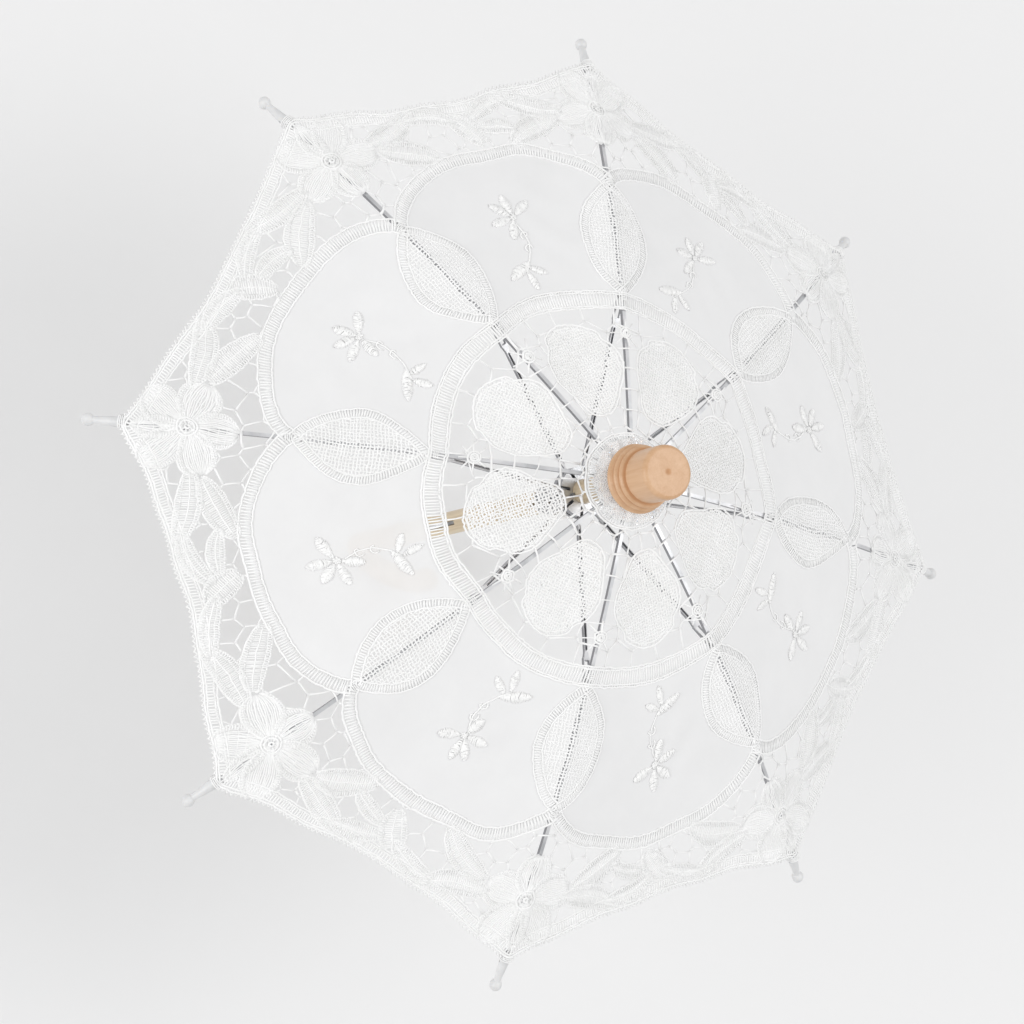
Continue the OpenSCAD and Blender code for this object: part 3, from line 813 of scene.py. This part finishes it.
def cell_edges(seeds):
    """The borders between the seeds' cells, as pairs of plan points."""
    flat, _, triangles, *_ = delaunay_2d_cdt([Vector(seed) for seed in seeds], [], [], 0, 1e-6)
    centres, shared = [], {}
    for index, (a, b, c) in enumerate(triangles):
        ax, ay, bx, by, cx, cy = *flat[a], *flat[b], *flat[c]
        spread = 2 * (ax * (by - cy) + bx * (cy - ay) + cx * (ay - by))
        aa, bb, cc = ax * ax + ay * ay, bx * bx + by * by, cx * cx + cy * cy
        centres.append(((aa * (by - cy) + bb * (cy - ay) + cc * (ay - by)) / spread,
                        (aa * (cx - bx) + bb * (ax - cx) + cc * (bx - ax)) / spread))
        for edge in ((a, b), (b, c), (c, a)):
            shared.setdefault(frozenset(edge), []).append(index)
    return [(centres[pair[0]], centres[pair[1]]) for pair in shared.values() if len(pair) == 2]


BAR_THREAD = 0.42


def bars(threads, rng):
    """The bars of twisted thread that fill the gaps between the lace's tapes, petals and leaves."""
    samples = np.linspace(0, 1, 9)[:, None]
    shortest, longest, furthest = 0.8, 16, 195
    for a, b in cell_edges(bar_seeds(rng)):
        a, b = np.array(a), np.array(b)
        if not shortest < np.linalg.norm(b - a) < longest or max(np.hypot(*a), np.hypot(*b)) > furthest:
            continue
        line = a + (b - a) * samples
        bare = np.flatnonzero(~filled(line[:, 0], line[:, 1]))
        if len(bare) == 0:
            continue
        line = line[max(bare[0] - 1, 0):bare[-1] + 2]
        if len(line) < 2:
            continue
        line = np.array([line[0], (line[0] + line[-1]) / 2, line[-1]])
        radius = BAR_THREAD * rng.uniform(0.85, 1.2)
        threads.add(line, [radius * 1.35, radius * 0.85, radius * 1.35], 0.3)


def petals(threads, rng):
    """The eight net petals round the finial, one to a gore."""
    for k in range(RIBS):
        middle = GORE * k
        outline = turned(PETAL, middle)
        threads.add(outline, OUTLINE_CORD, OUTLINE_LIFT, closed=True)
        inset = turned((PETAL - (PETAL_CENTRE, 0)) * 0.92 + (PETAL_CENTRE, 0), middle)
        threads.add(inset, 0.34, 0.4, closed=True)
        net(threads, lambda x, y: in_petal(x, y, 0.4), PETAL_NET_REACH, PETAL_NET_PITCH, middle + 0.12,
            PETAL_NET_THREAD, rng, PETAL_NET_JITTER, polar(PETAL_CENTRE, middle))


def ring(threads):
    angles = round_angles(400)
    tape(threads, polar(RING_RADIUS, angles), RING_WIDTH, closed=True, cords=2)
    tape(threads, polar(NECK_RADIUS, angles), NECK_WIDTH, closed=True, cords=2)


def spiders(threads, rng):
    """The small woven wheels on the rib lines, with spokes that run out to the petals and the ring."""
    for k in range(RIBS):
        azimuth = rib_azimuth(k + 1)
        hub = polar(SPIDER_RADIUS, azimuth)
        turns = round_angles(14)
        for radius in SPIDER_RINGS:
            threads.add(hub + polar(radius, turns), SPIDER_THREAD, 0.5, closed=True)
        for spoke in range(SPOKES):
            angle = azimuth + spoke * TURN / SPOKES + rng.uniform(-0.15, 0.15)
            length = rng.uniform(6.0, 7.5)
            threads.add(hub + np.outer(np.linspace(0.15, 1, 3), polar(length, angle)), SPOKE_THREAD, 0.35)


def net_leaves(threads, rng):
    """The tape-edged net leaves that lie along the ribs."""
    t = np.linspace(0, 1, 40)
    for k in range(RIBS):
        azimuth = rib_azimuth(k + 1)
        along = LEAF_START + (LEAF_END - LEAF_START) * (0.5 - 0.5 * np.cos(math.pi * t))
        for side in (-1, 1):
            middle = side * np.maximum(leaf_half_width(along) - LEAF_TAPE / 2, 0)
            tape(threads, turned(np.stack([along, middle], 1), azimuth), LEAF_TAPE, pitch=1.05, edge=0.42)
        net(threads, lambda x, y: in_leaf(x, y, LEAF_TAPE - 0.4), LEAF_NET_REACH, LEAF_NET_PITCH, azimuth,
            LEAF_NET_THREAD, rng, LEAF_NET_JITTER, polar((LEAF_START + LEAF_END) / 2, azimuth))


def scallops(threads):
    """The tape that bounds the sheer panels' outer ends."""
    for k in range(RIBS):
        angles = np.linspace(-HALF, HALF, 90)
        path = turned(polar(scallop_radius(angles), angles), GORE * k)
        tape(threads, path, SCALLOP_WIDTH)


def hem(threads):
    """The hem: a tape with doubled edge cords, and a picot edge."""
    angles = round_angles(960)
    edge = hem_radius(angles)
    tape(threads, polar(edge - HEM_TAPE_INSET, angles), HEM_TAPE_WIDTH, closed=True, cords=2)
    picot_inset, picot_pitch, picot_reach = 0.4, 0.95, 1.3
    path = resampled(polar(edge - picot_inset, angles), picot_pitch, closed=True)
    side = normals(path, True)
    waves = np.where(np.arange(len(path)) % 2 == 0, 0.0, -picot_reach)
    threads.add(path + side * waves[:, None], 0.34, 0.4, closed=True)


def outer_lace(threads):
    """The leaves between the scallops and the hem, and a flower at each rib's end."""
    turns = round_angles(16)
    for k in range(RIBS):
        for leaf in OUTER_LEAVES:
            crossed_leaf(threads, leaf.turned(GORE * k))
        azimuth = rib_azimuth(k + 1)
        for petal in FLOWER_PETALS:
            rayed_leaf(threads, petal.turned(azimuth))
        centre = polar(FLOWER_RADIUS, azimuth)
        for radius, thread in ((FLOWER_EYE, 0.5), (FLOWER_EYE - 1.1, 0.4), (0.8, 0.5)):
            threads.add(centre + polar(radius, turns), thread, 0.75, closed=True)
        rays = 9
        for i in range(rays):
            angle = azimuth + TURN * i / rays
            threads.add([centre + polar(0.6, angle), centre + polar(FLOWER_EYE, angle)], 0.27, 0.7)


# Each daisy petal's direction, in degrees, and length
DAISY_PETALS = ((0, 10.8), (48, 10.2), (100, 10.8), (160, 10.5), (295, 11))
# Each stem leaf's place on the stem, length, direction in degrees, and half width
STEM_LEAVES = ((9, 13, 118, 2.1), (11, 8.5, -165, 1.6), (10, 8, -120, 1.5))
STEM_POINTS = 12
SCROLL_PLACES = (3, 6)
KNOTS = 7


def embroidery(threads, rng):
    """A daisy, two scrolls and a pair of leaves in satin stitch on each sheer panel."""
    ring_turns = round_angles(6)
    for k in range(RIBS):
        middle = GORE * k
        owner = (2 * k - 1) % (2 * RIBS)
        centre = turned([(DAISY_RADIUS, 0)], middle)[0]
        for degrees, length in DAISY_PETALS:
            way = polar(1.0, middle + math.radians(degrees + rng.uniform(-5, 5)))
            satin_leaf(threads, Leaf(centre + 1.4 * way, centre + length * way, 2.0), owner)
        for i in range(KNOTS):
            knot = centre + polar(0.9 if i else 0, i * 1.05)
            threads.add(knot + polar(0.35, ring_turns), 0.3, 0.8, closed=True, finish=SATIN, owner=owner)
        stem = turned([(DAISY_RADIUS - 3 - 21 * t, -3.5 * math.sin(3.4 * t) + 4.5 * t)
                       for t in np.linspace(0, 1, STEM_POINTS)], middle)
        threads.add(stem, 0.36, 0.5, finish=SATIN, owner=owner)
        for place in SCROLL_PLACES:
            sweep = np.linspace(0, 4.6, 10)
            curl = stem[place] + polar(2.3 - 0.35 * sweep, middle + 2.4 - sweep)
            threads.add(curl, 0.34, 0.55, finish=SATIN, owner=owner)
        for place, length, degrees, half_width in STEM_LEAVES:
            way = polar(1.0, middle + math.radians(degrees))
            satin_leaf(threads, Leaf(stem[place], stem[place] + length * way, half_width), owner)


# ---------- from the plan to pieces on the ribs ----------

# Slow waves, each with its direction and length, phase and shift, that the lace is moved by
WOBBLE = random.Random(7)
WOBBLES = [(polar(TURN / WOBBLE.uniform(24, 90), WOBBLE.uniform(0, TURN)),
            WOBBLE.uniform(0, TURN), polar(0.34, WOBBLE.uniform(0, TURN))) for _ in range(9)]


def hand_drift(points):
    """Moves plan points a little, smoothly, as hand-set lace wanders from its drawing."""
    flat = points[:, :2].copy()
    settle = np.clip((np.hypot(flat[:, 0], flat[:, 1]) - NECK_RADIUS) / 20, 0, 1)[:, None]
    for wave, phase, shift in WOBBLES:
        flat += settle * np.outer(np.sin(points[:, :2] @ wave + phase), shift)
    return np.concatenate([flat, points[:, 2:]], 1)


def laid_on_dome(points):
    """Plan points with a lift, in mm, as places on the dome, in metres."""
    height = cloth_height(points[:, 0], points[:, 1]) + points[:, 2]
    return np.stack([points[:, 0], points[:, 1], height], 1) * MM


def half_of(points):
    """The half sector of each plan point: 0 and 1 are before and after rib 1, 2 and 3 rib 2, and so on."""
    azimuth = np.arctan2(points[:, 1], points[:, 0]) % (TURN)
    return np.minimum((azimuth / HALF).astype(int), 2 * RIBS - 1)


def new_piece(name, points, faces, materials, finishes=None):
    """A smooth mesh object from arrays of points, in metres, and of quads."""
    used, faces = np.unique(faces, return_inverse=True)
    faces = faces.reshape(-1, 4)
    mesh = bpy.data.meshes.new(name)
    mesh.vertices.add(len(used))
    mesh.vertices.foreach_set("co", points[used].astype(np.float32).ravel())
    mesh.loops.add(faces.size)
    mesh.loops.foreach_set("vertex_index", faces.astype(np.int32).ravel())
    mesh.polygons.add(len(faces))
    mesh.polygons.foreach_set("loop_start", np.arange(0, faces.size, 4, dtype=np.int32))
    mesh.polygons.foreach_set("use_smooth", np.ones(len(faces), bool))
    for material in materials:
        mesh.materials.append(material)
    if finishes is not None:
        mesh.polygons.foreach_set("material_index", finishes.astype(np.int32))
    mesh.update(calc_edges=True)
    mesh.validate()
    piece = bpy.data.objects.new(name, mesh)
    bpy.context.scene.collection.objects.link(piece)
    return piece


def fold_with_rib(piece, k):
    """Makes a half sector ride on rib k, with a mesh of its own."""
    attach(piece, f"rib_{k}")
    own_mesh(piece)


def sheer_panel(k, side):
    """The sheer cloth beside rib k, out to the middle of the gore, as a gently puckered sheet."""
    across, down = 22, 30
    grids = np.meshgrid(np.linspace(0, 1, across + 1), np.linspace(0, 1, down + 1))
    s, t = (grid.ravel() for grid in grids)
    inner = RING_RADIUS + RING_WIDTH / 2 - 1
    level = inner + (SCALLOP_ON_RIB - inner) * t
    beside_leaf = np.maximum(leaf_half_width(level) - LEAF_TAPE, 0)
    start = np.arcsin(np.clip(beside_leaf / level, 0, 1))
    off = start + (HALF - start) * s
    radius = inner + (scallop_radius(HALF - off) - inner) * t
    lift = 0.22
    pucker = lift * np.sin(radius / 2.9 + 5 * np.sin(off * 9)) * np.sin(math.pi * t) * np.sin(math.pi * s)
    azimuth = rib_azimuth(k) + side * off
    flat = np.concatenate([polar(radius, azimuth), (lift + pucker)[:, None]], 1)
    index = np.arange((across + 1) * (down + 1)).reshape(down + 1, across + 1)
    quads = np.stack([index[:-1, :-1], index[:-1, 1:], index[1:, 1:], index[1:, :-1]], -1).reshape(-1, 4)
    if side > 0:
        quads = quads[:, ::-1]
    return laid_on_dome(hand_drift(flat)), quads


def canopy():
    """The lace and the sheer panels, as one piece of each to every half sector."""
    rng = random.Random(11)
    threads = Threads()
    ring(threads)
    petals(threads, rng)
    spiders(threads, rng)
    net_leaves(threads, rng)
    scallops(threads)
    hem(threads)
    outer_lace(threads)
    bars(threads, rng)
    embroidery(threads, rng)
    points, quads, finishes, owners = threads.tubes()
    points = hand_drift(points)
    centres = points[quads].mean(1)
    halves = np.where(owners >= 0, owners, half_of(centres))
    places = laid_on_dome(points)
    for half in range(2 * RIBS):
        k, side = half // 2 + 1, (-1, 1)[half % 2]
        part = "ab"[half % 2]
        mine = halves == half
        lace = new_piece(f"lace_{k}{part}", places, quads[mine], [PAINTS["lace"], SATIN_PAINT],
                         finishes[mine])
        sheer_points, sheer_quads = sheer_panel(k, side)
        sheer = new_piece(f"organza_{k}{part}", sheer_points, sheer_quads, [ORGANZA_PAINT])
        for piece in (lace, sheer):
            fold_with_rib(piece, k)
        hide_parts(f"canopy_{k}")


# ---------- the ruffle ----------

# The collar lies flat out to RUFFLE_HELD, RUFFLE_GAP under the finial, and from there it droops and waves.
RUFFLE_FOLDS = 15
RUFFLE_WAVE = 0.825
RUFFLE_DROOP = 2.3
RUFFLE_GAP = 0.7
RUFFLE_INNER = 5.4
RUFFLE_HELD = 7
RUFFLE_THREAD = 0.15
FLAKES = 170
FLAKE_SIZES = (0.14, 0.28)


def ruffle_height(radius, azimuth):
    """Height of the gathered collar: it leaves the finial level, droops, and waves more towards its edge."""
    out = np.clip((radius - RUFFLE_HELD) / (RUFFLE_RADIUS - RUFFLE_HELD), 0, 1)
    droop = RUFFLE_DROOP * out ** 2
    folds = np.sin(RUFFLE_FOLDS * azimuth + 1.3 * np.sin(3 * azimuth))
    wave = folds + 0.4 * np.sin(4 * RUFFLE_FOLDS * azimuth / 3)
    return FINIAL_Z - RUFFLE_GAP - droop + RUFFLE_WAVE * out * wave


def ruffle_edge(azimuth):
    return RUFFLE_RADIUS - 0.5 + 0.5 * np.sin(7 * azimuth + 0.8) + 0.35 * np.sin(19 * azimuth)


def ruffle():
    """The gathered tulle collar under the finial: a sheer ground, its net of threads and some glitter."""
    rings, around = 14, 360
    share, azimuth = np.meshgrid(np.linspace(0, 1, rings + 1), round_angles(around), indexing="ij")
    radius = RUFFLE_INNER + (ruffle_edge(azimuth) - RUFFLE_INNER) * share
    flat = polar(radius, azimuth).reshape(-1, 2)
    points = np.concatenate([flat, ruffle_height(radius, azimuth).reshape(-1, 1)], 1) * MM
    index = np.arange((rings + 1) * around).reshape(rings + 1, around)
    quads = walls_between(index[:-1], index[1:]).reshape(-1, 4)[:, ::-1]
    ground = new_piece("ruffle_ground", points, quads, [PAINTS["ruffle"]])

    threads = Threads()
    spirals, lean = 96, 0.62
    step = np.linspace(0, 1, 16)
    for i in range(spirals):
        for way in (-1, 1):
            turn = TURN * i / spirals + way * lean * step
            reach = RUFFLE_HELD + (ruffle_edge(turn) - RUFFLE_HELD) * step
            threads.add(polar(reach, turn), RUFFLE_THREAD, 0)
    rim = round_angles(420)
    threads.add(polar(ruffle_edge(rim), rim), RUFFLE_THREAD, 0, closed=True)
    net_points, net_quads, *_ = threads.tubes()
    x, y = net_points[:, 0], net_points[:, 1]
    net_points[:, 2] += ruffle_height(np.hypot(x, y), np.arctan2(y, x))
    mesh = new_piece("ruffle_net", net_points * MM, net_quads, [PAINTS["lace"]])
    flakes = ruffle_glitter()

    for piece in (ground, mesh, flakes):
        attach(piece, "root")
    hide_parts("ruffle_collar")


def ruffle_glitter():
    """Small square flakes at all angles over the ruffle."""
    rng = random.Random(5)
    points, quads = [], []
    innermost = 11
    for _ in range(FLAKES):
        azimuth = rng.uniform(0, TURN)
        reach = innermost + (float(ruffle_edge(azimuth)) - innermost) * math.sqrt(rng.random())
        centre = Vector((*polar(reach, azimuth), float(ruffle_height(reach, azimuth)) + 0.2))
        tilt = Matrix.Rotation(rng.uniform(-0.9, 0.9), 3, "X") @ Matrix.Rotation(rng.uniform(0, 6.3), 3, "Z")
        size = rng.uniform(*FLAKE_SIZES)
        first = len(points)
        for corner in ((-1, -1, 0), (1, -1, 0), (1, 1, 0), (-1, 1, 0)):
            points.append((centre + tilt @ Vector(corner) * size) * MM)
        quads.append((first, first + 1, first + 2, first + 3))
    return new_piece("ruffle_glitter", np.array(points), np.array(quads), [glitter()])


# ---------- small sewing and finishing pieces ----------


# Where along the rib each tack is, its loops, and their half width and half height
TACKS = ((RING_RADIUS, 3, 1.5, 2.0), (SCALLOP_ON_RIB, 4, 1.5, 2.0), (HEM_ON_RIB - 1, 4, 2.9, 3.1))
TACK_LIFT, TACK_PITCH, TACK_THREAD = 0.35, 0.75, 0.24


def tacking():
    """The stitches that tie the cloth to each rib: at the ring, the leaf's outer end and through the cap."""
    for k in range(1, RIBS + 1):
        azimuth = rib_azimuth(k)
        out = np.array([math.cos(azimuth), math.sin(azimuth), 0])
        aside = np.array([-math.sin(azimuth), math.cos(azimuth), 0])
        points, quads = [], []
        for along, loops, wide, high in TACKS:
            arc = float(rib_arc(along))
            slope = START_SLOPE + arc
            centre = out * along + np.array([0, 0, HUB_Z - float(rib_drop(arc)) + TACK_LIFT])
            lengthways = out * math.cos(slope) - np.array([0, 0, math.sin(slope)])
            upright = out * math.sin(slope) + np.array([0, 0, math.cos(slope)])
            for loop in range(loops):
                middle = centre + lengthways * (loop - loops / 2) * TACK_PITCH
                ring_points, ring_quads = wrap(middle, aside * wide, upright * high, lengthways)
                quads.append(ring_quads + len(points) * len(ring_points))
                points.append(ring_points)
        piece = new_piece(f"tacking_{k}", np.concatenate(points) * MM, np.concatenate(quads),
                          [PAINTS["lace"]])
        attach(piece, f"rib_{k}")


def wrap(centre, wide, high, axis):
    """One loop of thread round a rib, as points and quads."""
    around, sides = 16, 5
    turn = round_angles(around)[:, None]
    middle = centre + np.cos(turn) * wide + np.sin(turn) * high + axis * 0.3 * np.sin(turn)
    outward = np.cos(turn) * wide / np.linalg.norm(wide) + np.sin(turn) * high / np.linalg.norm(high)
    angle = round_angles(sides)[None, :, None]
    points = middle[:, None] + TACK_THREAD * (np.cos(angle) * outward[:, None] + np.sin(angle) * axis)
    index = np.arange(around * sides).reshape(around, sides)
    quads = walls_between(index, np.roll(index, -1, 0))
    return points.reshape(-1, 3), quads.reshape(-1, 4)


# ---------- camera, floor and light ----------


def camera():
    """The view from about 61 degrees over the horizon, with the frame rolled on its side."""
    azimuth, elevation, roll = math.radians(-136.76), math.radians(61.34), math.radians(-76.9)
    aim = Vector((-0.017, -0.018, 0.15))
    distance = 1.2216
    back = Vector((math.cos(azimuth) * math.cos(elevation), math.sin(azimuth) * math.cos(elevation),
                   math.sin(elevation)))
    data = bpy.data.cameras.new("camera")
    data.lens = 105.3
    data.sensor_width = 36
    data.clip_start, data.clip_end = 0.05, 20
    eye = bpy.data.objects.new("camera", data)
    turn = (-back).to_track_quat("-Z", "Y").to_matrix() @ Matrix.Rotation(-roll, 3, "Z")
    eye.matrix_world = Matrix.Translation(aim + back * distance) @ turn.to_4x4()
    bpy.context.scene.collection.objects.link(eye)
    bpy.context.scene.camera = eye


def area_light(name, place, aim, size, power):
    data = bpy.data.lights.new(name, "AREA")
    data.shape = "DISK"
    data.size = size
    data.energy = power
    lamp = bpy.data.objects.new(name, data)
    lamp.location = place
    lamp.rotation_euler = (Vector(aim) - Vector(place)).to_track_quat("-Z", "Y").to_euler()
    bpy.context.scene.collection.objects.link(lamp)


def studio():
    """A pale floor, a bright even surround and two soft lights."""
    side = 30
    bpy.ops.mesh.primitive_plane_add(size=2 * side, location=(0, 0, FLOOR_Z - 0.0005))
    floor = bpy.context.object
    floor.name = "floor"
    floor.data.materials.append(floor_paper())
    world = bpy.data.worlds.new("studio")
    world.use_nodes = True
    background = world.node_tree.nodes["Background"]
    background.inputs["Color"].default_value = (1, 1, 1, 1)
    background.inputs["Strength"].default_value = 0.67
    bpy.context.scene.world = world
    centre = (0, 0, 0.12)
    area_light("key", (0.9, 0.6, 1.7), centre, 1.2, 11.5)
    area_light("fill", (-1.5, -1.2, 1.1), centre, 1.4, 17.5)
    bpy.context.scene.view_settings.view_transform = "Standard"


camera()
studio()
paint_cad_nodes()
canopy()
ruffle()
tacking()
